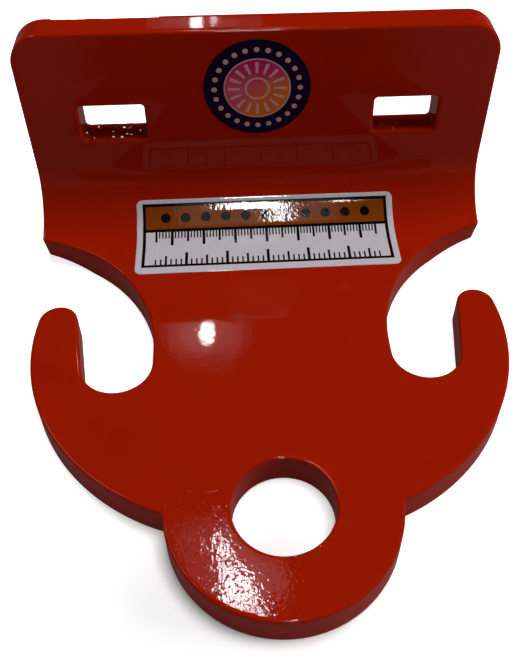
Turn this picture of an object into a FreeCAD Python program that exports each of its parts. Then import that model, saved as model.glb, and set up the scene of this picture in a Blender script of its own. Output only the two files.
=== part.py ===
import FreeCAD, Part
import math
import os

from FreeCAD import Vector

# A hitch plate for towing a small trailer behind a mower: one thick steel plate with a hitch hole in a
# round nose, a hook on each side and an upright flange with two bolt slots, and two vinyl decals.
# Millimetres. X runs across the plate, +Y towards the flange and +Z up.
# The origin lies under the middle of the plate's box, on the plane that the plate rests on.
os.makedirs("parts", exist_ok=True)

# Plate
plate_thickness = 9.525
plate_width = 139.7
overall_height = 73.5
bend_radius = 19.05  # inside the bend
neutral_share = 0.5  # depth of the layer that keeps its length in the bend, as a share of the thickness
edge_radius = 0.8  # cut edges of the front face, rounded over by the paint
deburred_edge = 0.5  # small chamfer on the hole's rims and the edges of the underside and the back
neck_corner_radius = 1.2
flange_corner_radius = 9.7

# Hitch hole and the nose round it
hole_diameter = 25.4
hole_from_back = 119.0
nose_reach = 28.1  # from the hole's centre to the nose's tip
nose_diameter = 58.0
nose_corner_radius = 1.0  # inside corner between the nose and a hook

# Hooks
throat_radius = 9.7
throat_from_hole = 45.7
hook_width = 13.7  # across the hook where its inner side leaves the throat
hook_lean = 9.0  # degrees that the hook's inner side leans outwards
hook_tip_radius = 5.55
hook_outer_offset = 8.0  # centre of the outer arc, sideways from the centre line
hook_outer_from_hole = 54.9

# Waist between the hooks, and the flare that widens it to the flange's width
waist_width = 66.5
waist_length = 3.8
flare_radius = 50.4

# Bolt slots in the flange
slot_length = 19.4
slot_height = 12.1
slot_spacing = 88.2
slot_centre_height = 44.2
slot_corner_radius = 1.2

# Vinyl decals
decal_thickness = 0.15
round_decal_diameter = 31.4
round_decal_height = 54.9  # centre above the underside
round_decal_offset = -0.8
label_width = 82.3
label_height = 28.3  # measured along the surface, over the bend
label_from_back = 38.9  # lower edge
label_offset = 0.9
label_corner_radius = 2.0

# Places that follow from the sizes
overall_length = hole_from_back + nose_reach
back_y = overall_length / 2
front_y = back_y - plate_thickness
bend_start_y = front_y - bend_radius
bend_axis = Vector(0, bend_start_y, plate_thickness + bend_radius)
neutral_radius = bend_radius + neutral_share * plate_thickness
half_width = plate_width / 2
waist_x = waist_width / 2
hole_centre = Vector(0, back_y - hole_from_back, 0)
nose_radius = nose_diameter / 2
nose_centre = Vector(0, nose_radius - overall_length / 2, 0)
throat_centre = Vector(waist_x + throat_radius, hole_centre.y + throat_from_hole, 0)
flare_centre = Vector(waist_x + flare_radius, throat_centre.y + waist_length, 0)
hook_centre = Vector(hook_outer_offset, hole_centre.y + hook_outer_from_hole, 0)
across = Vector(1, 0, 0)
towards_flange = Vector(0, 1, 0)
up = Vector(0, 0, 1)
past = 3.0  # how far a cutting solid stands past what it cuts
flare_spans = 14  # spans of the curve that carries the flare round the bend
sharp_angle = 30.0  # degrees between two faces from which their edge counts as a corner
near = 0.01  # a point this close to a face lies on it


def line(start, end):
    return Part.LineSegment(start, end).toShape()


def arc(centre, radius, first, last):
    # Edge round a vertical axis, between two angles in radians.
    angles = (first, (first + last) / 2, last)
    return Part.Arc(*[centre + (across * math.cos(a) + towards_flange * math.sin(a)) * radius
                      for a in angles]).toShape()


def bearing(centre, point):
    # Angle of a point seen from a centre, from 0 to a full turn.
    return math.atan2(point.y - centre.y, point.x - centre.x) % (2 * math.pi)


def meeting(first, first_radius, second, second_radius):
    # Where two circles meet, to the right of the way from the first centre to the second.
    way = second - first
    span = way.Length
    along = (first_radius ** 2 - second_radius ** 2 + span ** 2) / (2 * span)
    aside = math.sqrt(first_radius ** 2 - along ** 2)
    way.normalize()
    return first + way * along + way.cross(up) * aside


def mirrored(shape):
    return shape.mirror(Vector(0, 0, 0), across)


def half_outline():
    # Right half of the tongue's edge, from the waist round the throat and the hook to the nose's tip.
    lean = math.radians(hook_lean)
    along = across * math.sin(lean) + towards_flange * math.cos(lean)
    outward = along.cross(up)
    throat_end = throat_centre + outward * throat_radius
    outer_radius = (throat_end + across * hook_width - hook_centre).Length

    # The tip's circle runs along the hook's inner side until it touches the outer arc from within.
    reach = throat_end + outward * hook_tip_radius - hook_centre
    track = outer_radius - hook_tip_radius
    foot = reach.dot(along)
    run = math.sqrt(foot ** 2 - reach.dot(reach) + track ** 2) - foot
    tip_start = throat_end + along * run
    tip_centre = tip_start + outward * hook_tip_radius
    tip_bearing = math.atan2(tip_centre.y - hook_centre.y, tip_centre.x - hook_centre.x)

    corner = meeting(nose_centre, nose_radius + nose_corner_radius,
                     hook_centre, outer_radius + nose_corner_radius)
    to_hook = bearing(corner, hook_centre)
    to_nose = bearing(corner, nose_centre)
    waist_top = Vector(waist_x, flare_centre.y, 0)
    waist_foot = Vector(waist_x, throat_centre.y, 0)
    return [
        line(waist_top, waist_foot),
        arc(throat_centre, throat_radius, math.pi, 2 * math.pi - lean),
        line(throat_end, tip_start),
        arc(tip_centre, hook_tip_radius, math.pi - lean, tip_bearing),
        arc(hook_centre, outer_radius, tip_bearing, to_hook - math.pi),
        arc(corner, nose_corner_radius, to_hook, to_nose),
        arc(nose_centre, nose_radius, to_nose - math.pi, -math.pi / 2),
    ]


def tongue():
    # Flat part with the hooks, the nose and the hitch hole, up to where the waist starts to flare.
    half = half_outline()
    waist = line(Vector(-waist_x, flare_centre.y, 0), Vector(waist_x, flare_centre.y, 0))
    edges = half + [mirrored(edge) for edge in half] + [waist]
    outline = Part.Face(Part.Wire(Part.__sortEdges__(edges)))
    drill = Part.makeCylinder(hole_diameter / 2, plate_thickness + 2 * past, hole_centre - up * past)
    return outline.extrude(up * plate_thickness).cut(drill)


def round_bend(radius, turn):
    # Point in the side view, at a distance from the bend's axis and an angle up from the tongue.
    return bend_axis + towards_flange * (radius * math.sin(turn)) - up * (radius * math.cos(turn))


def side_profile():
    # Section of the neck, the bend and the flange, seen from the side.
    outer = bend_radius + plate_thickness
    half_turn = math.pi / 4
    neck_foot = Vector(0, flare_centre.y, 0)
    neck_top = neck_foot + up * plate_thickness
    back_top = Vector(0, back_y, overall_height)
    front_top = Vector(0, front_y, overall_height)
    outer_bend = [round_bend(outer, turn) for turn in (0, half_turn, 2 * half_turn)]
    inner_bend = [round_bend(bend_radius, turn) for turn in (2 * half_turn, half_turn, 0)]
    edges = [
        line(neck_foot, outer_bend[0]),
        Part.Arc(*outer_bend).toShape(),
        line(outer_bend[-1], back_top),
        line(back_top, front_top),
        line(front_top, inner_bend[0]),
        Part.Arc(*inner_bend).toShape(),
        line(inner_bend[-1], neck_top),
        line(neck_top, neck_foot),
    ]
    return Part.Face(Part.Wire(edges))


def flare_station(flat_y, lift):
    # Point of the flare in the flat blank, lifted off the plate's front face, after the blank is bent.
    x = flare_centre.x - math.sqrt(flare_radius ** 2 - (flat_y - flare_centre.y) ** 2)
    if flat_y <= bend_start_y:
        return Vector(x, flat_y, plate_thickness + lift)
    point = round_bend(bend_radius - lift, (flat_y - bend_start_y) / neutral_radius)
    return point + across * x


def flare_curve(lift):
    # The flare's line from the waist to past the neck.
    beyond_neck = flare_centre.x - half_width - past
    length = math.sqrt(flare_radius ** 2 - beyond_neck ** 2)
    points = [flare_station(flare_centre.y + length * i / flare_spans, lift) for i in range(flare_spans + 1)]
    end_direction = points[-1] - points[-2]
    end_direction.normalize()
    curve = Part.BSplineCurve()
    curve.interpolate(Points=points, InitialTangent=towards_flange, FinalTangent=end_direction)
    return curve.toShape()


def flare_cutter():
    # The flare is cut in the flat, so its wall stays square to the plate's faces as it runs up the bend.
    wall = Part.makeRuledSurface(flare_curve(past), flare_curve(-plate_thickness - past))
    return wall.extrude(across * plate_width)


def edges_along(shape, direction, wanted):
    # Straight edges in a direction, where the test of their middle says so.
    found = []
    for edge in shape.Edges:
        run = edge.Vertexes[-1].Point - edge.Vertexes[0].Point
        if abs(run.dot(direction)) > edge.Length - near and wanted(edge.CenterOfMass):
            found.append(edge)
    return found


def slot_cutter(x):
    size = Vector(slot_length, plate_thickness + 2 * past, slot_height)
    corner = Vector(x, (front_y + back_y) / 2, slot_centre_height) - size / 2
    block = Part.makeBox(size.x, size.y, size.z, corner)
    return block.makeFillet(slot_corner_radius, edges_along(block, towards_flange, lambda middle: True))


def neck_and_flange():
    # One strip with the bend in it. Its top corners are rounded, then the slots and the flares are cut.
    strip = side_profile().extrude(across * plate_width)
    strip.translate(across * -half_width)
    top_corners = edges_along(strip, towards_flange, lambda middle: middle.z > overall_height - near)
    strip = strip.makeFillet(flange_corner_radius, top_corners)
    for side in (-1, 1):
        strip = strip.cut(slot_cutter(side * slot_spacing / 2))
    flare = flare_cutter()
    return strip.cut(flare).cut(mirrored(flare))


def skin_depth(point):
    # Depth of a point below the plate's front face, which turns up with the bend.
    if point.z > bend_axis.z:
        return point.y - front_y
    if point.y < bend_axis.y:
        return plate_thickness - point.z
    return math.hypot(point.y - bend_axis.y, point.z - bend_axis.z) - bend_radius


def corner_edges(shape, wanted):
    # Edges at which two faces meet at a corner, where the test of their middle says so.
    found = []
    for edge in shape.Edges:
        middle = edge.valueAt((edge.FirstParameter + edge.LastParameter) / 2)
        if not wanted(middle):
            continue
        normals = [face.normalAt(*face.Surface.parameter(middle))
                   for face in shape.ancestorsOfType(edge, Part.Face)]
        if len(normals) == 2 and math.degrees(normals[0].getAngle(normals[1])) > sharp_angle:
            found.append(edge)
    return found


def on_front(point):
    return abs(skin_depth(point)) < near


def on_back(point):
    return abs(skin_depth(point) - plate_thickness) < near


def at_neck(point):
    return abs(abs(point.x) - half_width) < near and not on_front(point) and not on_back(point)


def at_hole(point):
    return math.hypot(point.x - hole_centre.x, point.y - hole_centre.y) < hole_diameter / 2 + near


def hitch_plate():
    plate = tongue().fuse(neck_and_flange()).removeSplitter()
    plate = plate.makeFillet(neck_corner_radius, corner_edges(plate, at_neck))
    plate = plate.makeFillet(edge_radius, corner_edges(plate, lambda p: on_front(p) and not at_hole(p)))
    return plate.makeChamfer(deburred_edge, corner_edges(plate, lambda p: on_back(p) or at_hole(p)))


def round_decal():
    centre = Vector(round_decal_offset, front_y, round_decal_height)
    return Part.makeCylinder(round_decal_diameter / 2, decal_thickness, centre, -towards_flange)


def label_line(lift):
    # The label's line in the side view, lifted off the plate: flat, round the bend, then up the flange.
    lower = Vector(0, back_y - label_from_back, plate_thickness + lift)
    bend_foot = Vector(0, bend_start_y, plate_thickness + lift)
    on_curve = label_height - (bend_foot - lower).Length
    turn = min(on_curve / bend_radius, math.pi / 2)
    bent = [round_bend(bend_radius - lift, turn * share) for share in (0, 0.5, 1)]
    edges = [line(lower, bend_foot), Part.Arc(*bent).toShape()]
    above = on_curve - bend_radius * turn
    if above > near:
        edges.append(line(bent[-1], bent[-1] + up * above))
    return edges


def label():
    # Rectangle with rounded corners, laid over the start of the bend.
    under = label_line(0)
    over = label_line(decal_thickness)
    ends = [line(under[0].Vertexes[0].Point, over[0].Vertexes[0].Point),
            line(under[-1].Vertexes[-1].Point, over[-1].Vertexes[-1].Point)]
    section = Part.Face(Part.Wire(Part.__sortEdges__(under + over + ends)))
    sheet = section.extrude(across * label_width)
    sheet.translate(across * (label_offset - label_width / 2))
    in_sheet = -decal_thickness / 2
    corners = corner_edges(sheet, lambda middle: abs(skin_depth(middle) - in_sheet) < near)
    return sheet.makeFillet(label_corner_radius, corners)


parts = {"hitch_plate": hitch_plate(), "round_decal": round_decal(), "label": label()}
for name, shape in parts.items():
    shape.exportStep("parts/" + name + ".step")
    print(name, "valid", shape.isValid(), "solids", len(shape.Solids), "volume", round(shape.Volume, 1))
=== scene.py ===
import math

import bpy
import numpy as np
from mathutils import Matrix, Vector
from mathutils.geometry import delaunay_2d_cdt


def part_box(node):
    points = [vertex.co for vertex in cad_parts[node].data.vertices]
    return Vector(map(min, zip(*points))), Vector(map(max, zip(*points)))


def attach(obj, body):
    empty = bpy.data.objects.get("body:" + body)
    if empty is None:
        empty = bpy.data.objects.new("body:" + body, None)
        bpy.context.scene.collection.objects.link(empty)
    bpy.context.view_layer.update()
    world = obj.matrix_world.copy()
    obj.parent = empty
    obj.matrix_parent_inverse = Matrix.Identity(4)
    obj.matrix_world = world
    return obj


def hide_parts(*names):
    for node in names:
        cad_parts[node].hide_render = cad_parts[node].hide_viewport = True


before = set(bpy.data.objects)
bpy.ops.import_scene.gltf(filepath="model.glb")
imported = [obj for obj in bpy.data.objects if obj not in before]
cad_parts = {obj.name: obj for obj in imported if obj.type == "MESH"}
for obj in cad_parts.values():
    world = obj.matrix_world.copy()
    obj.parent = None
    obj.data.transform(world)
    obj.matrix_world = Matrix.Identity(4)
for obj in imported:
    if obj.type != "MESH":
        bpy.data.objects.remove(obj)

# Looks of the mower trailer hitch: an enamelled steel plate with two vinyl decals.
# Sizes in the dictionaries are millimetres, and everything built from them is in metres.
mm = 0.001
scene = bpy.context.scene
scene.view_settings.view_transform = "Standard"
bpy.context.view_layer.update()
print("frame loaded:", len(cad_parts), "nodes")


# Small helpers

def hexColor(text):
    # An sRGB hex colour as a linear RGBA value.
    channels = [int(text[i:i + 2], 16) / 255 for i in (1, 3, 5)]
    return tuple(c / 12.92 if c <= 0.04045 else ((c + 0.055) / 1.055) ** 2.4 for c in channels) + (1.0,)


def addNode(tree, kind, inputs=None, **settings):
    # Adds a node and gives its outputs. An input that is a socket is linked, any other value is set.
    node = tree.nodes.new(kind)
    for name, value in settings.items():
        setattr(node, name, value)
    for socket, value in (inputs or {}).items():
        if isinstance(value, bpy.types.NodeSocket):
            tree.links.new(value, node.inputs[socket])
        else:
            node.inputs[socket].default_value = value
    return node.outputs


def pastBox(tree, at, centre, half):
    # How far a place lies past a box, or less than 0 where it lies in the box.
    away = addNode(tree, "ShaderNodeVectorMath", {0: at, 1: centre}, operation="SUBTRACT")[0]
    away = addNode(tree, "ShaderNodeVectorMath", {0: away}, operation="ABSOLUTE")[0]
    away = addNode(tree, "ShaderNodeVectorMath", {0: away, 1: half}, operation="SUBTRACT")[0]
    sides = addNode(tree, "ShaderNodeSeparateXYZ", {0: away})
    past = addNode(tree, "ShaderNodeMath", {0: sides["X"], 1: sides["Y"]}, operation="MAXIMUM")[0]
    return addNode(tree, "ShaderNodeMath", {0: past, 1: sides["Z"]}, operation="MAXIMUM")[0]


def polar(degrees):
    return np.array((math.cos(math.radians(degrees)), math.sin(math.radians(degrees))))


def bearing(start, end):
    # Angle of the way from one point to another, in degrees from 0 to 360.
    return math.degrees(math.atan2(end[1] - start[1], end[0] - start[0])) % 360


# Camera: the photograph was taken close to the nose, with the camera held a little askew.

cameraView = {
    "place": (-7.988, -144.199, 184.557),
    "right": (0.99768, -0.06768, 0.00785),
    "down": (-0.04254, -0.70873, -0.70420),
    "forward": (0.05323, 0.70223, -0.70996),
    "focalPixels": 816.06,
    "framePixels": (517, 661),
    "principalPoint": (284.45, 281.74),
    "sensorWidth": 36.0,
    "clip": (0.01, 20.0),  # metres
}


def makeCamera():
    width, height = cameraView["framePixels"]
    column, row = cameraView["principalPoint"]
    right, down, forward = (Vector(cameraView[k]) for k in ("right", "down", "forward"))
    data = bpy.data.cameras.new("camera")
    data.sensor_width = cameraView["sensorWidth"]
    data.lens = cameraView["focalPixels"] * cameraView["sensorWidth"] / height
    data.shift_x = (width / 2 - column) / height
    data.shift_y = (row - height / 2) / height
    data.clip_start, data.clip_end = cameraView["clip"]
    camera = bpy.data.objects.new("camera", data)
    turn = Matrix((right, -down, -forward)).transposed().to_4x4()
    camera.matrix_world = Matrix.Translation(Vector(cameraView["place"]) * mm) @ turn
    scene.collection.objects.link(camera)
    scene.camera = camera


makeCamera()
print("camera placed")


# Shapes in the flat: a blank is drawn as loops with the steel on their left, then pressed to shape.

flatMesh = {
    "maxTurn": 9.0,  # degrees between two points of an arc at most
    "clearShare": 0.7,  # of the pitch, between a filling point and the edge at least
    "mergeWithin": 1e-6,  # two points closer than this are one
}


def onArc(centre, radius, first, last, step):
    # Points along an arc, with the way into the material, without the last one.
    turn = last - first
    length = abs(math.radians(turn)) * radius
    count = max(math.ceil(length / step), math.ceil(abs(turn) / flatMesh["maxTurn"]))
    inward = -1 if turn > 0 else 1
    rays = [polar(first + turn * i / count) for i in range(count)]
    return [(np.array(centre) + radius * ray, inward * ray) for ray in rays]


def onLine(start, end, step):
    run = np.array(end) - np.array(start)
    length = np.linalg.norm(run)
    count = max(1, math.ceil(length / step))
    inward = np.array((-run[1], run[0])) / length
    return [(start + run * i / count, inward) for i in range(count)]


def roundedRectangle(centre, width, height, radius, step, hole=False):
    # Runs anticlockwise, or clockwise round a hole.
    half = np.array((width, height)) / 2 - radius
    rows = []
    for i in range(4):
        quarter = -i if hole else i
        corner = centre + half * np.sign(polar(45 + 90 * quarter))
        later = centre + half * np.sign(polar(45 + 90 * (quarter - 1 if hole else quarter + 1)))
        first, last = (90 * quarter + 90, 90 * quarter) if hole else (90 * quarter, 90 * quarter + 90)
        rows += onArc(corner, radius, first, last, step)
        rows += onLine(corner + radius * polar(last), later + radius * polar(last), step)
    return rows


def inside(points, loops):
    # True where a point has the material round it, by counting the loop edges to its right.
    crossings = np.zeros(len(points), int)
    x, y = points[:, 0], points[:, 1]
    for loop in loops:
        for (ax, ay), (bx, by) in zip(loop, np.roll(loop, -1, axis=0)):
            if ay == by:
                continue
            spans = (ay > y) != (by > y)
            crossings += spans & (x < ax + (y - ay) * (bx - ax) / (by - ay))
    return crossings % 2 == 1


def staggered(low, high, pitch):
    # Rows of points, every other row shifted by half the pitch.
    rise = pitch * math.sqrt(3) / 2
    rows = []
    for i in range(int((high[1] - low[1]) / rise) + 1):
        x = np.arange(low[0] + pitch / 2 * (i % 2), high[0], pitch)
        rows.append(np.column_stack((x, np.full(len(x), low[1] + i * rise))))
    return np.concatenate(rows)


def fillPoints(loops, zones):
    # Points inside the loops. Each zone is a pitch and a test that says which points are in it.
    edge = np.concatenate(loops)
    found = []
    for pitch, within in zones:
        grid = staggered(edge.min(axis=0), edge.max(axis=0), pitch)
        grid = grid[within(grid)]
        grid = grid[inside(grid, loops)]
        clear = [np.hypot(*(edge - p).T).min() > flatMesh["clearShare"] * pitch for p in grid]
        found.append(grid[clear])
    return np.concatenate(found)


def everywhere(at):
    return np.full(len(at), True)


def slab(name, loops, profile, zonesOver, zonesUnder):
    # A closed sheet: the profile's rings round each loop, and a filled face over and under.
    # The profile is a list of (inset from the edge, height), from the upper face to the lower one.
    points = [np.array([row[0] for row in loop]) for loop in loops]
    inward = [np.array([row[1] for row in loop]) for loop in loops]
    corners, faces = [], []
    total = 0
    firstRing, lastRing = [], []
    for at, way in zip(points, inward):
        count = len(at)
        for inset, height in profile:
            corners.append(np.column_stack((at + inset * way, np.full(count, height))))
        along = np.arange(count)
        for k in range(len(profile) - 1):
            upper, lower = total + k * count, total + (k + 1) * count
            after = (along + 1) % count
            faces += np.column_stack((upper + along, lower + along, lower + after, upper + after)).tolist()
        firstRing.append(total + along)
        lastRing.append(total + (len(profile) - 1) * count + along)
        total += len(profile) * count
    for rings, (inset, height), zones, over in ((firstRing, profile[0], zonesOver, True),
                                                (lastRing, profile[-1], zonesUnder, False)):
        border = [at + inset * way for at, way in zip(points, inward)]
        middle = fillPoints(border, zones)
        flat = np.concatenate(border + [middle])
        index = np.concatenate(rings + [total + np.arange(len(middle))])
        edges, start = [], 0
        for loop in border:
            around = start + np.arange(len(loop))
            edges += np.column_stack((around, np.roll(around, -1))).tolist()
            start += len(loop)
        made, _, triangles, sources, _, _ = delaunay_2d_cdt([Vector(p) for p in flat], edges, [], 0,
                                                            flatMesh["mergeWithin"])
        at = np.array([tuple(p) for p in made])
        triangles = np.array([t for t in triangles if len(t) == 3])
        triangles = triangles[inside(at[triangles].mean(axis=1), border)]
        triangles = index[np.array([s[0] for s in sources])[triangles]]
        faces += (triangles if over else triangles[:, ::-1]).tolist()
        corners.append(np.column_stack((middle, np.full(len(middle), height))))
        total += len(middle)
    mesh = bpy.data.meshes.new(name)
    mesh.from_pydata((np.concatenate(corners) * mm).tolist(), [], faces)
    mesh.shade_smooth()
    piece = bpy.data.objects.new(name, mesh)
    scene.collection.objects.link(piece)
    return piece


# The press brake: one tree bends the plate and both decals by the same rule.

pressBrake = {
    "thickness": 9.525,
    "insideRadius": 19.05,
    "bendStart": 44.975,  # where the tongue's flat ends, along the plate
}
plateTop = pressBrake["thickness"]
neutralArc = (pressBrake["insideRadius"] + plateTop / 2) * math.pi / 2
frontArc = pressBrake["insideRadius"] * math.pi / 2
bendAxisHeight = plateTop + pressBrake["insideRadius"]


def newGeometryTree(name, numbers, vectors=()):
    # A tree with a geometry input and output and one named input for each number and vector.
    tree = bpy.data.node_groups.new(name, "GeometryNodeTree")
    tree.interface.new_socket("Geometry", in_out="INPUT", socket_type="NodeSocketGeometry")
    for label in numbers:
        tree.interface.new_socket(label, in_out="INPUT", socket_type="NodeSocketFloat")
    for label in vectors:
        tree.interface.new_socket(label, in_out="INPUT", socket_type="NodeSocketVector")
    tree.interface.new_socket("Geometry", in_out="OUTPUT", socket_type="NodeSocketGeometry")
    return tree, addNode(tree, "NodeGroupInput")


def makeBendTree():
    tree, given = newGeometryTree("pressBrakeBend", ("Bend Start", "Flat Arc", "Inside Radius", "Thickness"))
    inner = given["Inside Radius"]
    place = addNode(tree, "GeometryNodeInputPosition")[0]
    flat = addNode(tree, "ShaderNodeSeparateXYZ", {0: place})
    past = addNode(tree, "ShaderNodeMath", {0: flat["Y"], 1: given["Bend Start"]}, operation="SUBTRACT")[0]
    share = addNode(tree, "ShaderNodeMath", {0: past, 1: given["Flat Arc"]}, operation="DIVIDE",
                    use_clamp=True)[0]
    turn = addNode(tree, "ShaderNodeMath", {0: share, 1: math.pi / 2}, operation="MULTIPLY")[0]
    sine = addNode(tree, "ShaderNodeMath", {0: turn}, operation="SINE")[0]
    cosine = addNode(tree, "ShaderNodeMath", {0: turn}, operation="COSINE")[0]
    beyond = addNode(tree, "ShaderNodeMath", {0: past, 1: given["Flat Arc"]}, operation="SUBTRACT")[0]
    before = addNode(tree, "ShaderNodeMath", {0: past, 1: 0.0}, operation="MINIMUM")[0]
    after = addNode(tree, "ShaderNodeMath", {0: beyond, 1: 0.0}, operation="MAXIMUM")[0]

    # Along the tongue: the start, less what lies before it, plus the radius's share of the turn.
    radius = addNode(tree, "ShaderNodeMath", {0: inner, 1: flat["Z"]}, operation="SUBTRACT")[0]
    start = addNode(tree, "ShaderNodeMath", {0: given["Bend Start"], 1: before}, operation="ADD")[0]
    along = addNode(tree, "ShaderNodeMath", {0: radius, 1: sine, 2: start}, operation="MULTIPLY_ADD")[0]

    # Up: the bend's axis, less the radius's share, plus what lies past the bend.
    axis = addNode(tree, "ShaderNodeMath", {0: given["Thickness"], 1: inner}, operation="ADD")[0]
    lowered = addNode(tree, "ShaderNodeMath", {0: radius, 1: cosine}, operation="MULTIPLY")[0]
    bent = addNode(tree, "ShaderNodeMath", {0: axis, 1: lowered}, operation="SUBTRACT")[0]
    height = addNode(tree, "ShaderNodeMath", {0: bent, 1: after}, operation="ADD")[0]
    there = addNode(tree, "ShaderNodeCombineXYZ", {0: flat["X"], 1: along, 2: height})[0]
    moved = addNode(tree, "GeometryNodeSetPosition", {"Geometry": given["Geometry"], "Position": there})[0]
    addNode(tree, "NodeGroupOutput", {0: moved})
    return tree


def applyTree(piece, tree, values):
    # Runs a tree on a piece and keeps the plain mesh.
    modifier = piece.modifiers.new(tree.name, "NODES")
    modifier.node_group = tree
    sockets = {s.name: s.identifier for s in tree.interface.items_tree if s.in_out == "INPUT"}
    for label, value in values.items():
        modifier[sockets[label]] = value
    evaluated = piece.evaluated_get(bpy.context.evaluated_depsgraph_get())
    mesh = bpy.data.meshes.new_from_object(evaluated)
    piece.modifiers.remove(modifier)
    piece.data = mesh
    return piece


bendTree = makeBendTree()


def bendPiece(piece, flatArc):
    return applyTree(piece, bendTree, {
        "Bend Start": pressBrake["bendStart"] * mm,
        "Flat Arc": flatArc * mm,
        "Inside Radius": pressBrake["insideRadius"] * mm,
        "Thickness": pressBrake["thickness"] * mm,
    })


# The plate's blank

plateSize = {
    "holeRadius": 12.7,
    "holeFromBack": 119.0,
    "noseRadius": 29.0,
    "noseCorner": 1.0,
    "throatRadius": 9.7,
    "throatFromHole": 45.7,
    "hookWidth": 13.7,
    "hookLean": 9.0,  # degrees
    "hookTip": 5.55,
    "hookOuterOffset": 8.0,
    "hookOuterFromHole": 54.9,
    "waistWidth": 66.5,
    "waistLength": 3.8,
    "flareRadius": 50.4,
    "neckCorner": 1.2,
    "flangeCorner": 9.7,
    "slotLength": 19.4,
    "slotHeight": 12.1,
    "slotSpacing": 88.2,
    "slotCentreHeight": 44.2,
    "slotCorner": 1.2,
    "edgeRadius": 0.8,
    "deburred": 0.5,
    # Mesh: spacing of the points along the edges and on the faces, and rings round the edges
    "edgeStep": 1.0,
    "rimStep": 0.5,
    "rimBand": 4.5,  # width of the finest mesh round the hole
    "rimPitch": 0.38,
    "noseBand": 22.0,  # reach of the nose's mesh past the hole's middle
    "nosePitch": 0.6,
    "facePitch": 1.3,
    "backPitch": 1.8,
    "zoneGaps": (0.2, 0.5),  # bare strips past the rim's mesh and past the nose's
    "frontLand": 0.35,  # flat ring inside the rounded edge
    "backLand": 0.3,
    "frontRings": 6,
    "wallRings": 8,
    "backRings": 3,
}
plateLow, plateHigh = (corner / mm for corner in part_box("hitch_plate"))
halfWidth = plateHigh.x
flangeEnd = pressBrake["bendStart"] + neutralArc  # where the flange's flat starts, along the blank
blankEnd = flangeEnd + plateHigh.z - bendAxisHeight
holeY = plateHigh.y - plateSize["holeFromBack"]
slotY = flangeEnd + plateSize["slotCentreHeight"] - bendAxisHeight


def circlesMeet(first, firstRadius, second, secondRadius):
    # Where two circles meet, to the right of the way from the first centre to the second.
    way = second - first
    span = np.linalg.norm(way)
    way = way / span
    along = (firstRadius ** 2 - secondRadius ** 2 + span ** 2) / (2 * span)
    aside = math.sqrt(firstRadius ** 2 - along ** 2)
    return first + along * way + aside * np.array((way[1], -way[0]))


def plateOutline():
    s, step = plateSize, plateSize["edgeStep"]
    nose = np.array((0.0, plateLow.y + s["noseRadius"]))
    hook = np.array((s["hookOuterOffset"], holeY + s["hookOuterFromHole"]))
    throat = np.array((s["waistWidth"] / 2 + s["throatRadius"], holeY + s["throatFromHole"]))
    flare = np.array((s["waistWidth"] / 2 + s["flareRadius"], throat[1] + s["waistLength"]))

    outward = polar(-s["hookLean"])
    upHook = polar(90 - s["hookLean"])
    throatEnd = throat + s["throatRadius"] * outward
    outerRadius = np.linalg.norm(throatEnd + (s["hookWidth"], 0) - hook)
    reach = throatEnd + s["hookTip"] * outward - hook
    foot = reach @ upHook
    run = math.sqrt(foot ** 2 - reach @ reach + (outerRadius - s["hookTip"]) ** 2) - foot
    tipStart = throatEnd + run * upHook
    tip = tipStart + s["hookTip"] * outward

    corner = circlesMeet(nose, s["noseRadius"] + s["noseCorner"], hook, outerRadius + s["noseCorner"])
    toNose, toHook = bearing(corner, nose), bearing(corner, hook)

    neckX = halfWidth - s["neckCorner"]
    neckRun = s["flareRadius"] + s["neckCorner"]
    neck = np.array((neckX, flare[1] + math.sqrt(neckRun ** 2 - (flare[0] - neckX) ** 2)))
    toNeck = bearing(flare, neck)
    flangeCorner = np.array((halfWidth - s["flangeCorner"], blankEnd - s["flangeCorner"]))

    half = onArc(nose, s["noseRadius"], -90, toNose - 180, step)
    half += onArc(corner, s["noseCorner"], toNose, toHook, step)
    half += onArc(hook, outerRadius, toHook - 180, bearing(hook, tip), step)
    half += onArc(tip, s["hookTip"], bearing(hook, tip), 180 - s["hookLean"], step)
    half += onLine(tipStart, throatEnd, step)
    half += onArc(throat, s["throatRadius"], 360 - s["hookLean"], 180, step)
    half += onLine((s["waistWidth"] / 2, throat[1]), (s["waistWidth"] / 2, flare[1]), step)
    half += onArc(flare, s["flareRadius"], 180, toNeck, step)
    half += onArc(neck, s["neckCorner"], toNeck - 180, 0, step)
    half += onLine((halfWidth, neck[1]), (halfWidth, flangeCorner[1]), step)
    half += onArc(flangeCorner, s["flangeCorner"], 0, 90, step)
    top = onLine((flangeCorner[0], blankEnd), (-flangeCorner[0], blankEnd), step)
    flip = np.array((-1, 1))
    return half + top + [(top[0][0] * flip, top[0][1])] + [(p * flip, n * flip) for p, n in half[:0:-1]]


def wallProfile():
    # Rings from the front face over its rounded edge, down the wall and over the back's broken edge.
    s = plateSize
    front, back, depth = s["edgeRadius"], s["deburred"], plateTop
    rings = [(front + s["frontLand"], 0.0)]
    for i in range(s["frontRings"] + 1):
        turn = math.pi / 2 * i / s["frontRings"]
        rings.append((front * (1 - math.sin(turn)), -front * (1 - math.cos(turn))))
    for i in range(1, s["wallRings"]):
        rings.append((0.0, -front - (depth - front - back) * i / s["wallRings"]))
    for i in range(s["backRings"] + 1):
        turn = math.pi / 2 * i / s["backRings"]
        rings.append((back * (1 - math.cos(turn)), -depth + back * (1 - math.sin(turn))))
    rings.append((back + s["backLand"], -depth))
    return rings


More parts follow.
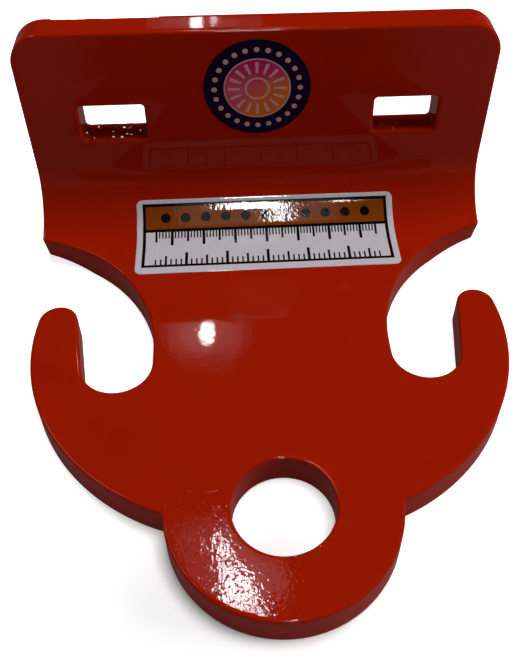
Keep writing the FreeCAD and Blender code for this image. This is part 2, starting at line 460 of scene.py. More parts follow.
def makePlate():
    s = plateSize
    hole = onArc((0, holeY), s["holeRadius"], 360, 0, s["rimStep"])
    slots = [roundedRectangle(np.array((side * s["slotSpacing"] / 2, slotY)), s["slotLength"],
                              s["slotHeight"], s["slotCorner"], s["edgeStep"], hole=True)
             for side in (-1, 1)]
    rim = s["holeRadius"] + s["rimBand"]
    noseEnd = holeY + s["noseBand"]
    rimGap, noseGap = s["zoneGaps"]

    def fromHole(at):
        return np.hypot(at[:, 0], at[:, 1] - holeY)

    zonesOver = [(s["rimPitch"], lambda at: fromHole(at) < rim),
                 (s["nosePitch"], lambda at: (fromHole(at) > rim + rimGap) & (at[:, 1] < noseEnd)),
                 (s["facePitch"], lambda at: at[:, 1] > noseEnd + noseGap)]
    loops = [plateOutline(), hole, *slots]
    return slab("painted_plate", loops, wallProfile(), zonesOver, [(s["backPitch"], everywhere)])


# How the wet paint settled on the flat blank. The names are the tree's inputs.

paintFlow = {
    "Sag Depth": 0.04,
    "Sag Length": 16.0,
    "Nose End": holeY - plateSize["holeRadius"],
    "Nose Fade": 22.0,
    "Run Depth": 0.02,
    "Run Length": 4.0,
    "Run Width": 1.0,
    "Hole Y": holeY,
    "Hole Radius": plateSize["holeRadius"],
}


def makeFlowTree():
    # Long sags on the nose, and short runs that point away from the hole. All of it goes into the coat, so
    # nothing stands past the plate's own faces.
    tree, given = newGeometryTree("paintFlow", paintFlow)
    place = addNode(tree, "GeometryNodeInputPosition")[0]
    flat = addNode(tree, "ShaderNodeSeparateXYZ", {0: place})

    frequency = addNode(tree, "ShaderNodeMath", {0: 1.0, 1: given["Sag Length"]}, operation="DIVIDE")[0]
    sags = addNode(tree, "ShaderNodeTexNoise", {"Vector": place, "Scale": frequency, "Detail": 0.0})[0]
    noseEnd = given["Nose End"]
    fadeEnd = addNode(tree, "ShaderNodeMath", {0: noseEnd, 1: given["Nose Fade"]}, operation="ADD")[0]
    sagDepth = addNode(tree, "ShaderNodeMapRange", {
        "Value": flat["Y"], "From Min": noseEnd, "From Max": fadeEnd, "To Min": given["Sag Depth"],
        "To Max": 0.0}, interpolation_type="SMOOTHSTEP")[0]

    # Round the hole, noise is drawn out along the radius and fades away from the rim.
    rim = given["Hole Radius"]
    fromHole = addNode(tree, "ShaderNodeMath", {0: flat["Y"], 1: given["Hole Y"]}, operation="SUBTRACT")[0]
    angle = addNode(tree, "ShaderNodeMath", {0: fromHole, 1: flat["X"]}, operation="ARCTAN2")[0]
    reach = addNode(tree, "ShaderNodeCombineXYZ", {0: flat["X"], 1: fromHole})[0]
    radius = addNode(tree, "ShaderNodeVectorMath", {0: reach}, operation="LENGTH")["Value"]
    past = addNode(tree, "ShaderNodeMath", {0: radius, 1: rim}, operation="SUBTRACT")[0]
    runDepth = addNode(tree, "ShaderNodeMapRange", {
        "Value": past, "From Min": 0.0, "From Max": given["Run Length"], "To Min": given["Run Depth"],
        "To Max": 0.0}, interpolation_type="SMOOTHSTEP")[0]
    across = addNode(tree, "ShaderNodeMath", {0: rim, 1: given["Run Width"]}, operation="DIVIDE")[0]
    across = addNode(tree, "ShaderNodeMath", {0: angle, 1: across}, operation="MULTIPLY")[0]
    along = addNode(tree, "ShaderNodeMath", {0: past, 1: given["Run Length"]}, operation="DIVIDE")[0]
    unrolled = addNode(tree, "ShaderNodeCombineXYZ", {0: across, 1: along})[0]
    runs = addNode(tree, "ShaderNodeTexNoise", {"Vector": unrolled, "Scale": 1.0, "Detail": 1.0})[0]

    sag = addNode(tree, "ShaderNodeMath", {0: sags, 1: sagDepth}, operation="MULTIPLY")[0]
    depth = addNode(tree, "ShaderNodeMath", {0: runs, 1: runDepth, 2: sag}, operation="MULTIPLY_ADD")[0]
    inward = addNode(tree, "ShaderNodeMath", {0: depth, 1: -1.0}, operation="MULTIPLY")[0]
    normal = addNode(tree, "GeometryNodeInputNormal")[0]
    push = addNode(tree, "ShaderNodeVectorMath", {0: normal, "Scale": inward}, operation="SCALE")[0]
    moved = addNode(tree, "GeometryNodeSetPosition", {"Geometry": given["Geometry"], "Offset": push})[0]
    addNode(tree, "NodeGroupOutput", {0: moved})
    return tree


plate = makePlate()
print("plate blank:", len(plate.data.polygons), "faces")
applyTree(plate, makeFlowTree(), {label: size * mm for label, size in paintFlow.items()})
bendPiece(plate, neutralArc)


# Decals

labelSize = {
    "width": 82.3,
    "height": 28.3,
    "corner": 2.0,
    "fromBack": 38.9,
    "offset": 0.9,
    "edgeStep": 0.8,
}
roundDecalSize = {
    "radius": 15.7,
    "centreHeight": 54.9,
    "offset": -0.8,
    "edgeStep": 0.6,
}
vinylSheet = {
    "thickness": 0.15,
    "land": 0.5,  # flat ring inside the soft edge
    "facePitch": 0.8,
    "backPitch": 1.5,
}


def addPrintMap(piece, centre):
    # A UV map in millimetres from the decal's middle, taken while the decal is still flat.
    layer = piece.data.uv_layers.new(name="print")
    corner = np.zeros(len(piece.data.loops), int)
    piece.data.loops.foreach_get("vertex_index", corner)
    at = np.array([tuple(v.co) for v in piece.data.vertices]) / mm
    layer.uv.foreach_set("vector", (at[corner][:, :2] - centre).astype(np.float32).ravel())


def makeSheet(name, centre, loop, flatArc):
    # A sheet with soft edges on the flat blank, printed about its centre and then pressed with the plate.
    s = vinylSheet
    top, land = s["thickness"], s["land"]
    soft = top / 3
    profile = [(land, top), (soft, top), (soft / 3, top - soft / 3), (0, top - soft), (0, top / 3), (0, 0),
               (land, 0)]
    piece = slab(name, [loop], profile, [(s["facePitch"], everywhere)], [(s["backPitch"], everywhere)])
    addPrintMap(piece, centre)
    return bendPiece(piece, flatArc)


def makeLabel():
    s = labelSize
    centre = np.array((s["offset"], plateHigh.y - s["fromBack"] + s["height"] / 2))
    loop = roundedRectangle(centre, s["width"], s["height"], s["corner"], s["edgeStep"])
    return makeSheet("label_vinyl_sheet", centre, loop, frontArc)


def makeRoundDecal():
    s = roundDecalSize
    centre = np.array((s["offset"], flangeEnd + s["centreHeight"] - bendAxisHeight))
    loop = onArc(centre, s["radius"], 0, 360, s["edgeStep"])
    return makeSheet("round_vinyl_sheet", centre, loop, neutralArc)


label = makeLabel()
roundDecal = makeRoundDecal()
print("decals cut and laid")


# Materials

def newMaterial(name):
    material = bpy.data.materials.new(name)
    material.use_nodes = True
    material.node_tree.nodes.clear()
    return material, material.node_tree


enamelFinish = {
    "red": "#921902",
    "shade": "#891502",
    "cloudSize": 14.0,  # patches where the coat is a little thicker
    "peelSize": 1.0,  # dimples of the orange peel
    "peelDepth": 0.005,
    "nosePeelDepth": 0.015,  # the coat dried rougher on the nose,
    "noseEnd": (-8.0, 14.0),  # which ends between these places, from the hole's middle
    "waveSize": 4.0,  # the coat's gentle waves, which bend the edges of what it mirrors
    "waveDepth": 0.003,
    "tongueBow": (-20.0, 38.0, 1.4),  # from, to and rise of a gentle lift of the plate before the bend
    "flangeBow": (20.0, 56.0, 1.65),
    "roughness": 0.5,
    "coat": 0.3,
    "coatRoughness": 0.03,
    "coatIor": 1.4,
}


def makeEnamel():
    # Gloss enamel sprayed thick on cut steel: a deep red under a clear skin that mirrors sharply. The skin
    # bends what it mirrors where the pressed plate isn't quite flat, and breaks it up at its dimples.
    # The skin is a thin one, so that pale surroundings don't veil the deep red.
    s = enamelFinish
    material, tree = newMaterial("gloss_enamel_red")
    place = addNode(tree, "ShaderNodeTexCoord")["Object"]
    parts = addNode(tree, "ShaderNodeSeparateXYZ", {0: place})
    cloud, peel, wave = (addNode(tree, "ShaderNodeTexNoise", {
        "Vector": place, "Scale": 1 / (s[size] * mm), "Detail": detail})[0]
        for size, detail in (("cloudSize", 3.0), ("peelSize", 1.0), ("waveSize", 0.0)))
    tint = addNode(tree, "ShaderNodeMix", {"Factor": cloud, 6: hexColor(s["shade"]), 7: hexColor(s["red"])},
                   data_type="RGBA")[2]
    start, end = s["noseEnd"]
    peelDepth = addNode(tree, "ShaderNodeMapRange", {
        "Value": parts["Y"], "From Min": (holeY + start) * mm, "From Max": (holeY + end) * mm,
        "To Min": s["nosePeelDepth"] * mm, "To Max": s["peelDepth"] * mm}, interpolation_type="SMOOTHSTEP")[0]
    relief = addNode(tree, "ShaderNodeMath", {0: peel, 1: peelDepth}, operation="MULTIPLY")[0]
    relief = addNode(tree, "ShaderNodeMath", {0: wave, 1: s["waveDepth"] * mm, 2: relief},
                     operation="MULTIPLY_ADD")[0]
    for way, (start, end, rise) in (("Y", s["tongueBow"]), ("Z", s["flangeBow"])):
        bow = addNode(tree, "ShaderNodeMapRange", {
            "Value": parts[way], "From Min": start * mm, "From Max": end * mm, "To Max": rise * mm},
            interpolation_type="SMOOTHSTEP")[0]
        relief = addNode(tree, "ShaderNodeMath", {0: relief, 1: bow}, operation="ADD")[0]
    bent = addNode(tree, "ShaderNodeBump", {"Height": relief, "Strength": 1.0, "Distance": 1.0})[0]
    skin = addNode(tree, "ShaderNodeBsdfPrincipled", {
        "Base Color": tint, "Roughness": s["roughness"], "Specular IOR Level": 0.0, "Coat Weight": s["coat"],
        "Coat Roughness": s["coatRoughness"], "Coat IOR": s["coatIor"], "Normal": bent,
        "Coat Normal": bent})[0]
    addNode(tree, "ShaderNodeOutputMaterial", {"Surface": skin})
    return material


beyondPrint = 1000.0  # farther than any print reaches


def layInks(tree, ground, layers):
    # The ground colour with inks laid over it in turn, each as far as its mask.
    color = hexColor(ground)
    for mask, ink in layers:
        color = addNode(tree, "ShaderNodeMix", {"Factor": mask, 6: color, 7: hexColor(ink)},
                        data_type="RGBA")[2]
    return color


def printed(tree, at, centre, size, pitch=None):
    # 1 within a shape of the print, 0 outside. The size is a disc's radius or a rectangle's half width and
    # half height, and a pitch repeats the shape across.
    if pitch:
        side = (pitch / 2, beyondPrint, beyondPrint)
        at = addNode(tree, "ShaderNodeVectorMath", {0: at, 1: side, 2: [-v for v in side]},
                     operation="WRAP")[0]
    middle = (*centre, 0)
    if isinstance(size, tuple):
        away = pastBox(tree, at, middle, (*size, beyondPrint))
        size = 0.0
    else:
        away = addNode(tree, "ShaderNodeVectorMath", {0: at, 1: middle}, operation="DISTANCE")["Value"]
    return addNode(tree, "ShaderNodeMath", {0: away, 1: size}, operation="LESS_THAN")[0]


def finishVinyl(material, color, relief, depth, s):
    # The film's skin over its inks: clear plastic, which mirrors unevenly where what lies under it is rough.
    tree = material.node_tree
    bump = addNode(tree, "ShaderNodeBump", {"Height": relief, "Strength": 1.0, "Distance": depth})[0]
    skin = addNode(tree, "ShaderNodeBsdfPrincipled", {
        "Base Color": color, "Roughness": s["roughness"], "IOR": s["ior"],
        "Specular IOR Level": s["specular"], "Normal": bump})[0]
    addNode(tree, "ShaderNodeOutputMaterial", {"Surface": skin})
    return material


labelPrint = {
    "fieldDark": "#A8A3A8",
    "fieldLight": "#BDB7BD",
    "grainSize": 0.625,
    "orange": "#713303",
    "black": "#08080B",
    "sideMargin": 1.9,
    "topMargin": 1.3,
    "footMargin": 2.7,
    "line": 1.0,
    "divider": 18.0,  # height of the line under the coloured band
    "scaleReach": 35.6,
    "pebbleSize": 1.1,
    "pebbleDepth": 0.02,
    "pebbleRise": (-1.0, 5.0),  # the film only pebbles where it goes up the bend
    "dotCount": 11,
    "dotPitch": 6.4,
    "dotRadius": 1.55,
    "dotDrop": 0.25,
    "roughness": 0.05,
    "ior": 1.46,
    "specular": 0.5,
    # Two plain scales, each a list of (pitch, tick width, tick length)
    "upperTicks": ((10.0, 0.9, 5.2), (5.0, 0.7, 3.8), (1.0, 0.42, 2.4)),
    "lowerTicks": ((12.7, 0.9, 5.2), (6.35, 0.7, 3.8), (1.5875, 0.5, 2.4)),
}


def makeLabelVinyl():
    # Printed vinyl film: a pale glossy sheet with opaque inks, pebbled by the paint and glue under it.
    s, sheet = labelPrint, labelSize
    material, tree = newMaterial("printed_vinyl_label")
    at = addNode(tree, "ShaderNodeUVMap", uv_map="print")[0]
    right = sheet["width"] / 2 - s["sideMargin"]
    top = sheet["height"] / 2 - s["topMargin"]
    foot = s["footMargin"] - sheet["height"] / 2
    divider = s["divider"] - sheet["height"] / 2
    middle, half = (top + foot) / 2, (top - foot) / 2
    line = s["line"]
    outer = printed(tree, at, (0, middle), (right, half))
    inner = printed(tree, at, (0, middle), (right - line, half - line))
    black = addNode(tree, "ShaderNodeMath", {0: outer, 1: inner}, operation="SUBTRACT")[0]

    bandMiddle = (top + divider) / 2
    band = printed(tree, at, (0, bandMiddle), (right - line, (top - divider) / 2))
    dot = printed(tree, at, (0, bandMiddle - s["dotDrop"]), s["dotRadius"], s["dotPitch"])
    dotRow = printed(tree, at, (0, bandMiddle), (s["dotCount"] * s["dotPitch"] / 2, s["dotPitch"]))
    scaleRow = printed(tree, at, (0, 0), (s["scaleReach"], sheet["height"]))
    shapes = [(dot, dotRow)]
    for ticks, base, way in ((s["upperTicks"], divider - line / 2, -1), (s["lowerTicks"], foot + line, 1)):
        for pitch, width, length in ticks:
            tick = printed(tree, at, (0, base + way * length / 2), (width / 2, length / 2), pitch)
            shapes.append((tick, scaleRow))
    masks = [printed(tree, at, (0, divider), (right, line / 2))]
    masks += [addNode(tree, "ShaderNodeMath", {0: shape, 1: row}, operation="MULTIPLY")[0]
              for shape, row in shapes]
    for mask in masks:
        black = addNode(tree, "ShaderNodeMath", {0: black, 1: mask}, operation="MAXIMUM")[0]

    grain, pebble = (addNode(tree, "ShaderNodeTexNoise", {
        "Vector": at, "Scale": 1 / s[size], "Detail": detail})[0]
        for size, detail in (("grainSize", 3.0), ("pebbleSize", 1.0)))
    color = layInks(tree, s["fieldDark"], (
        (grain, s["fieldLight"]), (band, s["orange"]), (black, s["black"])))
    up = addNode(tree, "ShaderNodeSeparateXYZ", {0: at})["Y"]
    start, end = s["pebbleRise"]
    depth = addNode(tree, "ShaderNodeMapRange", {
        "Value": up, "From Min": start, "From Max": end, "To Max": s["pebbleDepth"] * mm},
        interpolation_type="SMOOTHSTEP")[0]
    relief = addNode(tree, "ShaderNodeMath", {0: pebble, 1: depth}, operation="MULTIPLY")[0]
    return finishVinyl(material, color, relief, 1.0, s)


roundPrint = {
    "navy": "#0F0526",
    "rim": "#07060F",
    "rimWidth": 0.5,
    "cream": "#AC8884",
    "dotCount": 24,
    "dotRing": 12.6,
    "dotRadius": 0.8,
    "discRadius": 9.45,
    "discLine": 0.4,
    "magenta": "#9E1C56",
    "salmon": "#AE4454",
    "orange": "#B8581E",
    "rays": 16,
    "rayHalfWidth": 0.16,  # share of the way from ray to ray
    "rayGap": 0.9,
    "innerRing": 4.2,
    "innerGap": 0.5,
    "innerLine": 0.6,
    # The disc's colours: where magenta and orange rise from nothing to full
    "magentaRise": (0.0, 7.0),
    "orangeRise": (-4.0, 6.0),
    "orangeLean": -0.8,
    "pebbleSize": 1.0,
    "pebbleDepth": 0.01,
    "roughness": 0.3,
    "ior": 1.46,
    "specular": 0.08,
}


def makeRoundVinyl():
    # Printed vinyl film with a dulled face: a dark ring with plain dots round a warm sunburst.
    s = roundPrint
    material, tree = newMaterial("printed_vinyl_round")
    at = addNode(tree, "ShaderNodeUVMap", uv_map="print")[0]
    parts = addNode(tree, "ShaderNodeSeparateXYZ", {0: at})
    radius = addNode(tree, "ShaderNodeVectorMath", {0: at}, operation="LENGTH")["Value"]
    angle = addNode(tree, "ShaderNodeMath", {0: parts["Y"], 1: parts["X"]}, operation="ARCTAN2")[0]

    # Unrolled round the middle, a dot's place is its way round the ring and its way out.
    way = addNode(tree, "ShaderNodeMath", {0: angle, 1: s["dotRing"]}, operation="MULTIPLY")[0]
    unrolled = addNode(tree, "ShaderNodeCombineXYZ", {0: way, 1: radius})[0]
    dotPitch = 2 * math.pi * s["dotRing"] / s["dotCount"]
    dots = printed(tree, unrolled, (0, s["dotRing"]), s["dotRadius"], dotPitch)
    rim = addNode(tree, "ShaderNodeMath", {0: radius, 1: roundDecalSize["radius"] - s["rimWidth"]},
                  operation="GREATER_THAN")[0]
    lineDisc = printed(tree, at, (0, 0), s["discRadius"] + s["discLine"])
    disc = printed(tree, at, (0, 0), s["discRadius"])

    # Plain rays between an inner ring and the disc's line
    turns = addNode(tree, "ShaderNodeMath", {0: angle, 1: s["rays"] / (2 * math.pi)}, operation="MULTIPLY")[0]
    fromRay = addNode(tree, "ShaderNodeCombineXYZ", {0: turns, 1: radius})[0]
    rayMiddle = (s["innerRing"] + s["discRadius"]) / 2
    rayHalf = (s["discRadius"] - s["innerRing"]) / 2 - s["rayGap"]
    ray = printed(tree, fromRay, (0, rayMiddle), (s["rayHalfWidth"], rayHalf), 1.0)
    ringRadius = s["innerRing"] - s["innerGap"]
    ringOuter = printed(tree, at, (0, 0), ringRadius)
    ringInner = printed(tree, at, (0, 0), ringRadius - s["innerLine"])
    ring = addNode(tree, "ShaderNodeMath", {0: ringOuter, 1: ringInner}, operation="SUBTRACT")[0]
    pale = addNode(tree, "ShaderNodeMath", {0: ray, 1: ring}, operation="MAXIMUM")[0]

    # The disc runs from orange at the right and foot over salmon to magenta at the top.
    lean = addNode(tree, "ShaderNodeMath", {0: parts["Y"], 1: s["orangeLean"], 2: parts["X"]},
                   operation="MULTIPLY_ADD")[0]
    toRight, toTop = (addNode(tree, "ShaderNodeMapRange", {
        "Value": value, "From Min": start, "From Max": end}, interpolation_type="SMOOTHSTEP")[0]
        for value, (start, end) in ((lean, s["orangeRise"]), (parts["Y"], s["magentaRise"])))
    warm = layInks(tree, s["salmon"], (
        (toRight, s["orange"]), (toTop, s["magenta"]), (pale, s["cream"])))
    dark = layInks(tree, s["navy"], ((rim, s["rim"]), (dots, s["cream"]), (lineDisc, s["cream"])))
    color = addNode(tree, "ShaderNodeMix", {"Factor": disc, 6: dark, 7: warm}, data_type="RGBA")[2]
    pebble = addNode(tree, "ShaderNodeTexNoise", {
        "Vector": at, "Scale": 1 / s["pebbleSize"], "Detail": 2.0})[0]
    return finishVinyl(material, color, pebble, s["pebbleDepth"] * mm, s)


enamel = makeEnamel()
for piece, node, slotName, material in ((plate, "hitch_plate", "plate_paint", enamel),
                                        (label, "label", "label_vinyl", makeLabelVinyl()),
                                        (roundDecal, "round_decal", "round_vinyl", makeRoundVinyl())):
    piece.data.materials.clear()
    piece.data.materials.append(material)
    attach(piece, "root")
    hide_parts(node)
print("materials given")


# Specks in the coat: nibs of dust on the nose, and drops that dried on the slots' lower walls. Each row has
# their number to the square metre and a seed, and then their least and most radius, their height, and the
# middle and half sides of the box they lie in.

paintSpecks = {
    "paint_nibs": (500000.0, 4.0, 0.2, 0.42, 0.025, (-21.0, -57.0, 9.5), (11.0, 17.0, 1.0)),
    "paint_nibs_right": (20000.0, 2.0, 0.2, 0.4, 0.014, (11.0, -56.0, 9.5), (18.0, 18.0, 1.0)),
    "paint_drops_left": (100000.0, 3.0, 0.35, 0.9, 0.2, (-44.1, 68.1, 37.8), (10.5, 4.2, 0.8)),
    "paint_drops_right": (60000.0, 5.0, 0.35, 0.8, 0.2, (44.1, 68.1, 37.8), (10.5, 4.2, 0.8)),
}
speckMesh = {
    "leastRise": 0.3,  # upward part of the normal of the faces that specks lie on
    "segments": 12,
    "rings": 8,
}


def makeSpeckTree(material):
    # Scatters low domes where a box meets faces that look up. A dome is sunk to its middle, and its radius
    # is left to chance.
    names = ("Per Square Metre", "Least Radius", "Most Radius", "Height", "Least Rise", "Seed")
    tree, given = newGeometryTree("paintSpecks", names, ("Box Centre", "Box Half"))
    place = addNode(tree, "GeometryNodeInputPosition")[0]
    past = pastBox(tree, place, given["Box Centre"], given["Box Half"])
    within = addNode(tree, "ShaderNodeMath", {0: past, 1: 0.0}, operation="LESS_THAN")[0]
    normal = addNode(tree, "GeometryNodeInputNormal")[0]
    rise = addNode(tree, "ShaderNodeSeparateXYZ", {0: normal})["Z"]
    upward = addNode(tree, "ShaderNodeMath", {0: rise, 1: given["Least Rise"]}, operation="GREATER_THAN")[0]
    chosen = addNode(tree, "ShaderNodeMath", {0: within, 1: upward}, operation="MULTIPLY")[0]

    scattered = addNode(tree, "GeometryNodeDistributePointsOnFaces", {
        "Mesh": given["Geometry"], "Selection": chosen, "Density": given["Per Square Metre"],
        "Seed": given["Seed"]})
    dome = addNode(tree, "GeometryNodeMeshUVSphere", {
        "Segments": speckMesh["segments"], "Rings": speckMesh["rings"], "Radius": 1.0})["Mesh"]
    dome = addNode(tree, "GeometryNodeSetShadeSmooth", {"Geometry": dome})[0]
    radius = addNode(tree, "FunctionNodeRandomValue", {
        2: given["Least Radius"], 3: given["Most Radius"], "Seed": given["Seed"]}, data_type="FLOAT")[1]
    flat = addNode(tree, "ShaderNodeCombineXYZ", {0: radius, 1: radius, 2: given["Height"]})[0]
    placed = addNode(tree, "GeometryNodeInstanceOnPoints", {
        "Points": scattered["Points"], "Instance": dome, "Rotation": scattered["Rotation"], "Scale": flat})[0]
    solid = addNode(tree, "GeometryNodeRealizeInstances", {"Geometry": placed})[0]
    painted = addNode(tree, "GeometryNodeSetMaterial", {"Geometry": solid, "Material": material})[0]
    addNode(tree, "NodeGroupOutput", {0: painted})
    return tree


speckTree = makeSpeckTree(enamel)
for name, (density, seed, least, most, height, centre, half) in paintSpecks.items():
    piece = bpy.data.objects.new(name, plate.data.copy())
    scene.collection.objects.link(piece)
    applyTree(piece, speckTree, {
        "Per Square Metre": density,
        "Seed": seed,
        "Least Rise": speckMesh["leastRise"],
        "Least Radius": least * mm,
        "Most Radius": most * mm,
        "Height": height * mm,
        "Box Centre": tuple(v * mm for v in centre),
        "Box Half": tuple(v * mm for v in half),
    })
    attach(piece, "root")
    print(name, len(piece.data.polygons), "faces")


# Floor, light and backdrop. Here lengths are metres, apart from those on the part itself.

studio = {
    "floorReach": 3.0,
    "paper": 0.97,  # the floor near the part, as the camera sees it
    # The glow that the camera sees, by its (start, end) and (least, most): low at the nose's foot, where the
    # shadow is deepest, and rising to plain white far away.
    "nearGlow": ((0.02, 0.075), (0.08, 0.75)),
    "farGlow": ((0.25, 0.8), (0.0, 1.0)),
    "foot": (-0.015, -0.08, 0.0),
    "paperAround": 0.5,  # the floor as the light that bounces off it
    "paperMirrored": 0.24,  # the floor as the part mirrors it
    "mirroredGlow": 0.09,
    # The floor in front has a painted shade, as if the viewer's shadow lay there, so the flange mirrors it
    # darker:
    # the shade's level, and where it ends to the sides, to the back and close to the wall that mirrors it.
    "frontShade": 0.12,
    "shadeSides": (0.062, 0.084),
    "shadeBack": (-0.045, -0.025),
    "shadeReach": (0.05, 0.02),
    "skySeen": 1.0,
    "skyDiffuse": 0.17,
    "skyOverhead": 0.01,
    "skyHorizon": 0.15,
    "skyFade": 0.25,  # rise at which the horizon's light has faded
    "lampDistance": 1.2,  # from the place that mirrors a lamp
}


def splitByRay(tree, bounced, mirrored, seen):
    # A level that differs for light that bounces, for what shiny pieces mirror or let through, and for the
    # camera itself.
    rays = addNode(tree, "ShaderNodeLightPath")
    shiny = addNode(tree, "ShaderNodeMath", {0: rays["Is Glossy Ray"], 1: rays["Is Transmission Ray"]},
                    operation="MAXIMUM")[0]
    level = addNode(tree, "ShaderNodeMix", {"Factor": shiny, "A": bounced, "B": mirrored})[0]
    return addNode(tree, "ShaderNodeMix", {"Factor": rays["Is Camera Ray"], "A": level, "B": seen})[0]


def makeFloor():
    s = studio
    mesh = bpy.data.meshes.new("floor")
    corners = [(x * s["floorReach"], y * s["floorReach"], 0) for x, y in ((-1, -1), (1, -1), (1, 1), (-1, 1))]
    mesh.from_pydata(corners, [], [(0, 1, 2, 3)])
    floor = bpy.data.objects.new("floor", mesh)
    scene.collection.objects.link(floor)

    # Matt paper: pale and even, with the part's soft shadow on it.
    # As the part mirrors it, it has a painted shade in front.
    material, tree = newMaterial("pale_paper")
    place = addNode(tree, "ShaderNodeTexCoord")["Object"]
    parts = addNode(tree, "ShaderNodeSeparateXYZ", {0: place})
    rayLength = addNode(tree, "ShaderNodeLightPath")["Ray Length"]
    aside = addNode(tree, "ShaderNodeMath", {0: parts["X"]}, operation="ABSOLUTE")[0]
    # A painted shade on the floor as the part mirrors it: dark in front, lifting to the sides, behind and
    # near the mirroring wall.
    shade = s["frontShade"]
    for value, (start, end) in ((aside, s["shadeSides"]), (parts["Y"], s["shadeBack"]),
                                (rayLength, s["shadeReach"])):
        lit = addNode(tree, "ShaderNodeMapRange", {
            "Value": value, "From Min": start, "From Max": end, "To Min": s["frontShade"]},
            interpolation_type="SMOOTHSTEP")[0]
        shade = addNode(tree, "ShaderNodeMath", {0: lit, 1: shade}, operation="MAXIMUM")[0]
    mirrored, mirroredGlow = (
        addNode(tree, "ShaderNodeMath", {0: shade, 1: s[part]}, operation="MULTIPLY")[0]
        for part in ("paperMirrored", "mirroredGlow"))
    glow = 0.0
    for centre, ((start, end), (least, most)) in ((s["foot"], s["nearGlow"]), ((0, 0, 0), s["farGlow"])):
        away = addNode(tree, "ShaderNodeVectorMath", {0: place, 1: centre}, operation="DISTANCE")["Value"]
        rise = addNode(tree, "ShaderNodeMapRange", {
            "Value": away, "From Min": start, "From Max": end, "To Min": least, "To Max": most},
            interpolation_type="SMOOTHSTEP")[0]
        glow = addNode(tree, "ShaderNodeMath", {0: rise, 1: glow}, operation="MAXIMUM")[0]
    level = splitByRay(tree, s["paperAround"], mirrored, s["paper"])
    glow = splitByRay(tree, 0.0, mirroredGlow, glow)
    paper = addNode(tree, "ShaderNodeBsdfDiffuse", {"Color": level})[0]
    light = addNode(tree, "ShaderNodeEmission", {"Strength": glow})[0]
    both = addNode(tree, "ShaderNodeAddShader", {0: paper, 1: light})[0]
    addNode(tree, "ShaderNodeOutputMaterial", {"Surface": both})
    mesh.materials.append(material)


def makeWorld():
    s = studio
    world = bpy.data.worlds.new("studio")
    scene.world = world
    world.use_nodes = True
    tree = world.node_tree
    tree.nodes.clear()
    way = addNode(tree, "ShaderNodeTexCoord")["Generated"]
    rise = addNode(tree, "ShaderNodeSeparateXYZ", {0: way})["Z"]
    mirrored = addNode(tree, "ShaderNodeMapRange", {
        "Value": rise, "From Min": 0.0, "From Max": s["skyFade"], "To Min": s["skyHorizon"],
        "To Max": s["skyOverhead"]}, interpolation_type="SMOOTHSTEP")[0]
    level = splitByRay(tree, s["skyDiffuse"], mirrored, s["skySeen"])
    sky = addNode(tree, "ShaderNodeBackground", {"Color": (1, 1, 1, 1), "Strength": level})[0]
    addNode(tree, "ShaderNodeOutputWorld", {"Surface": sky})


def addLamp(name, place, turn, size, radiance, shape, mirrorOnly=False):
    # A lamp either lights the part and isn't mirrored in it, or is only mirrored.
    data = bpy.data.lights.new(name, "AREA")
    data.shape = shape
    data.size, data.size_y = size
    area = size[0] * size[1] * (math.pi / 4 if shape == "ELLIPSE" else 1)
    data.energy = radiance * math.pi * area
    lamp = bpy.data.objects.new(name, data)
    lamp.matrix_world = Matrix.Translation(place) @ turn.to_4x4()
    lamp.visible_camera = False
    lamp.visible_glossy = mirrorOnly
    lamp.visible_diffuse = not mirrorOnly
    scene.collection.objects.link(lamp)


def tilted(lean, toward=-90.0):
    # An upright normal, leant by some degrees toward a bearing.
    aside = polar(toward) * math.sin(math.radians(lean))
    return Vector((*aside, math.cos(math.radians(lean))))


def onTongue(x, y, lean=0.0, toward=-90.0):
    # A place of the tongue's upper face and its normal there.
    return Vector((x, y, plateTop)), tilted(lean, toward)


def onBend(x, arc):
    # A place of the bend's front face, by its way up the bend.
    lean = math.degrees(arc / pressBrake["insideRadius"])
    along, rise = polar(lean - 90) * pressBrake["insideRadius"]
    return Vector((x, pressBrake["bendStart"] + along, bendAxisHeight + rise)), tilted(lean)


def onTopEdge(x, y, lean=0.0):
    return Vector((x, y, plateHigh.z)), tilted(lean)


def onSlotFoot(x, lean):
    # The middle of a slot's lower wall, where only its drops lean back far enough to mirror a low lamp.
    foot = plateSize["slotCentreHeight"] - plateSize["slotHeight"] / 2
    return Vector((x, plateHigh.y - plateTop / 2, foot)), tilted(lean)


def onHoleRim(angle, lean):
    x, y = plateSize["holeRadius"] * polar(angle)
    return onTongue(x, holeY + y, lean, angle + 180)


def mirroredLamp(name, start, end, width, radiance, shape="RECTANGLE"):
    # A lamp that the camera sees mirrored from one place of the part to another, as wide there as said.
    distance = studio["lampDistance"] / mm
    camera = Vector(cameraView["place"])
    ends = []
    for place, normal in (start, end):
        look = (place - camera).normalized()
        ends.append(place + look.reflect(normal) * distance)
    along = (ends[0] - ends[1]).normalized()
    middle = (start[0] + end[0]) / 2
    centre = (ends[0] + ends[1]) / 2
    back = centre - middle
    across = along.cross(back).normalized()
    turn = Matrix((across, along, across.cross(along))).transposed()
    seen = (middle - camera).length
    size = (width * (seen + distance) / seen * mm, (ends[0] - ends[1]).length * mm)
    addLamp(name, centre * mm, turn, size, radiance, shape, mirrorOnly=True)


makeFloor()
makeWorld()
softLamps = {
    "key": {"place": (0.36, 0.1, 2.18), "size": (1.0, 1.0), "radiance": 11.7},
    "fillRight": {"place": (0.9, -0.1, 0.35), "size": (0.4, 0.4), "radiance": 8.0},
}
for name, s in softLamps.items():
    place = Vector(s["place"])
    turn = (-place).to_track_quat("-Z", "Y").to_matrix()
    addLamp(name, place, turn, s["size"], s["radiance"], "RECTANGLE")

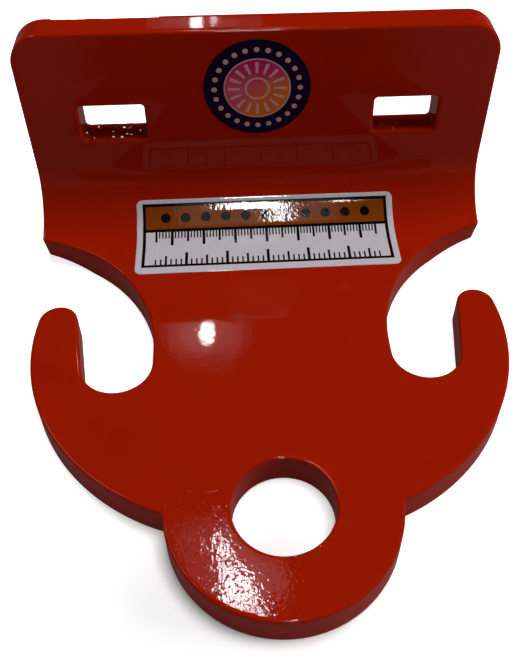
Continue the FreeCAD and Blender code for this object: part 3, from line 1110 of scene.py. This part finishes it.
# Lamps that are only mirrored, by the face that mirrors them: where each one starts and ends there, how wide
# it looks, its radiance, and its shape unless that is a rectangle.
mirroredLamps = {
    onTongue: (
        ("spot", (-18.2, 14.4, 2.1), (-18.2, 6.4, 2.1), 3.6, 200, "ELLIPSE"),
        ("spotGlow", (-20.5, 15.0, 2.1), (-20.5, 4.0, 2.1), 10.0, 1.5, "ELLIPSE"),
        ("spotHazeOuter", (-18.5, 15.0, 2.1), (-18.5, 6.0, 2.1), 26.0, 0.8),
        ("spotHaze", (-18.5, 15.0, 2.1), (-18.5, 3.5, 2.1), 21.0, 1.5),
        ("spotHazeInner", (-18.5, 15.0, 2.1), (-18.5, 0.5, 2.1), 16.0, 1),
        ("noseStroke", (-16.0, -52.8), (-13.4, -60.4), 1.7, 170),
        ("noseFanLeft", (-13.0, -61.6), (-15.3, -69.0), 1.2, 170),
        ("noseFanMiddle", (-12.3, -61.5), (-11.6, -72.0), 2.0, 170),
        ("noseFanRight", (-10.8, -62.0), (-6.1, -73.0), 1.4, 170),
        ("noseGlow", (-12.4, -49.0), (-9.1, -69.0), 9.0, 2, "ELLIPSE"),
        ("noseHaze", (-13.6, -48.0), (-11.3, -69.5), 23.0, 1.7),
        ("noseVeil", (-7.4, -58.0), (-5.1, -69.5), 13.0, 1.8, "ELLIPSE"),
    ),
    onHoleRim: (
        ("rimLine", (8, 25), (45, 25), 24.0, 11),
    ),
    onTopEdge: (
        ("topPatch", (-17.6, 72.8), (-17.0, 65.2), 3.4, 60, "ELLIPSE"),
        ("topGlint", (-12.8, 72.4), (-12.0, 69.5), 2.4, 30, "ELLIPSE"),
        ("topGlow", (-16.5, 73.0), (-16.5, 64.5), 12.0, 1, "ELLIPSE"),
        ("topHaze", (-15.0, 73.0), (-15.0, 64.5), 32.0, 0.6),
        ("topHazeInner", (-16.5, 73.0), (-16.5, 64.5), 22.0, 0.6, "ELLIPSE"),
        ("edgeLine", (-8.0, 64.3, 5.0), (11.0, 64.3, 5.0), 8.0, 35),
    ),
    onSlotFoot: (
        ("dropGlints", (-44.0, -8.0), (-44.0, -16.0), 30.0, 120),
    ),
    onBend: (
        ("labelFlash", (-4.0, 16.1), (-4.0, 14.0), 16.0, 60),
        ("labelCrumbs", (5.0, 15.5), (5.0, 9.5), 3.0, 50),
        ("labelGlint", (26.0, 15.7), (26.0, 15.2), 2.6, 60),
        ("labelGlow", (-2.0, 16.6), (-2.0, 9.0), 48.0, 0.5),
    ),
}
for place, lamps in mirroredLamps.items():
    for name, start, end, *looks in lamps:
        mirroredLamp(name, place(*start), place(*end), *looks)
print("lit")
